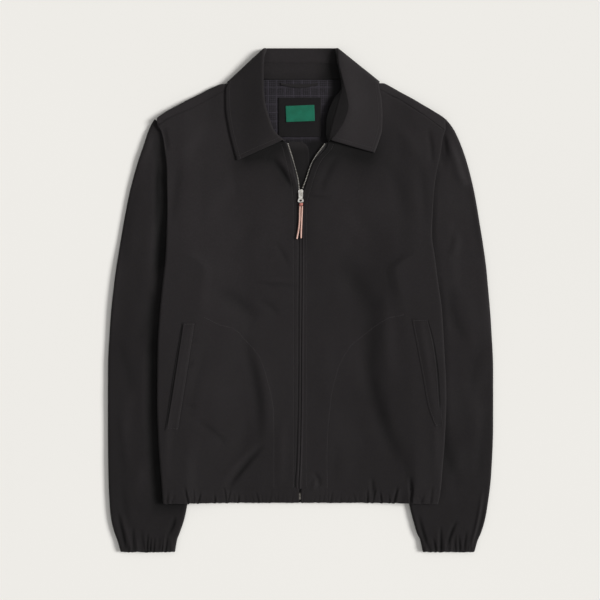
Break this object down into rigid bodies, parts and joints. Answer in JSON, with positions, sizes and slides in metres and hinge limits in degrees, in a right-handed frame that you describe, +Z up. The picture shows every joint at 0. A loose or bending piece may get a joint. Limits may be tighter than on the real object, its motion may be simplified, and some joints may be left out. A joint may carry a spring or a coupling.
{
  "type": "zip jacket",
  "caption": "Dark cotton harrington jacket laid flat on its back, zipped to the chest, its collar open and sleeves straight down.",
  "frame": {"origin": "middle of the underside of the bounding box, on the surface the jacket lies on", "axes": "+Y along the body towards the collar, +X towards the viewer's right looking down on the front, +Z up from the surface"},
  "size_m": [0.6205, 0.8109, 0.0226],
  "materials": {
    "twill": "matte cotton twill",
    "twill_inside": "matte cotton twill",
    "lining": "matte cotton with a faint check",
    "patch": "matte cotton",
    "label_green": "woven satin",
    "tape": "matte woven tape",
    "metal": "worn metal",
    "leather": "matte tan leather",
    "leather_knot": "matte red-brown leather"
  },
  "bodies": {
    "jacket": {"back": "twill", "collar_fall": "twill", "collar_stand": "twill_inside", "cuff_left": "twill", "cuff_right": "twill", "front_left": "twill", "front_right": "twill", "hanger_loop": "twill_inside", "hem_back": "twill", "hem_left": "twill", "hem_right": "twill", "label_blank": "label_green", "label_patch": "patch", "lining_back": "lining", "pocket_welt_left": "twill", "pocket_welt_right": "twill", "sleeve_left": "twill", "sleeve_right": "twill", "slider": "metal", "yoke_left": "twill", "yoke_right": "twill", "zip_box": "metal", "zip_guard": "twill_inside", "zip_tape_left": "tape", "zip_tape_right": "tape"},
    "pull": {"pull_tab": "metal", "pull_knot": "leather_knot", "pull_strand_left": "leather", "pull_strand_right": "leather"}
  },
  "joints": [
    {"name": "pull_tab_swing", "type": "hinge", "parent": "jacket", "child": "pull", "pos_m": [0.0012, 0.1725, 0.0116], "axis": [-1, 0, 0], "range_deg": [0, 180]}
  ]
}
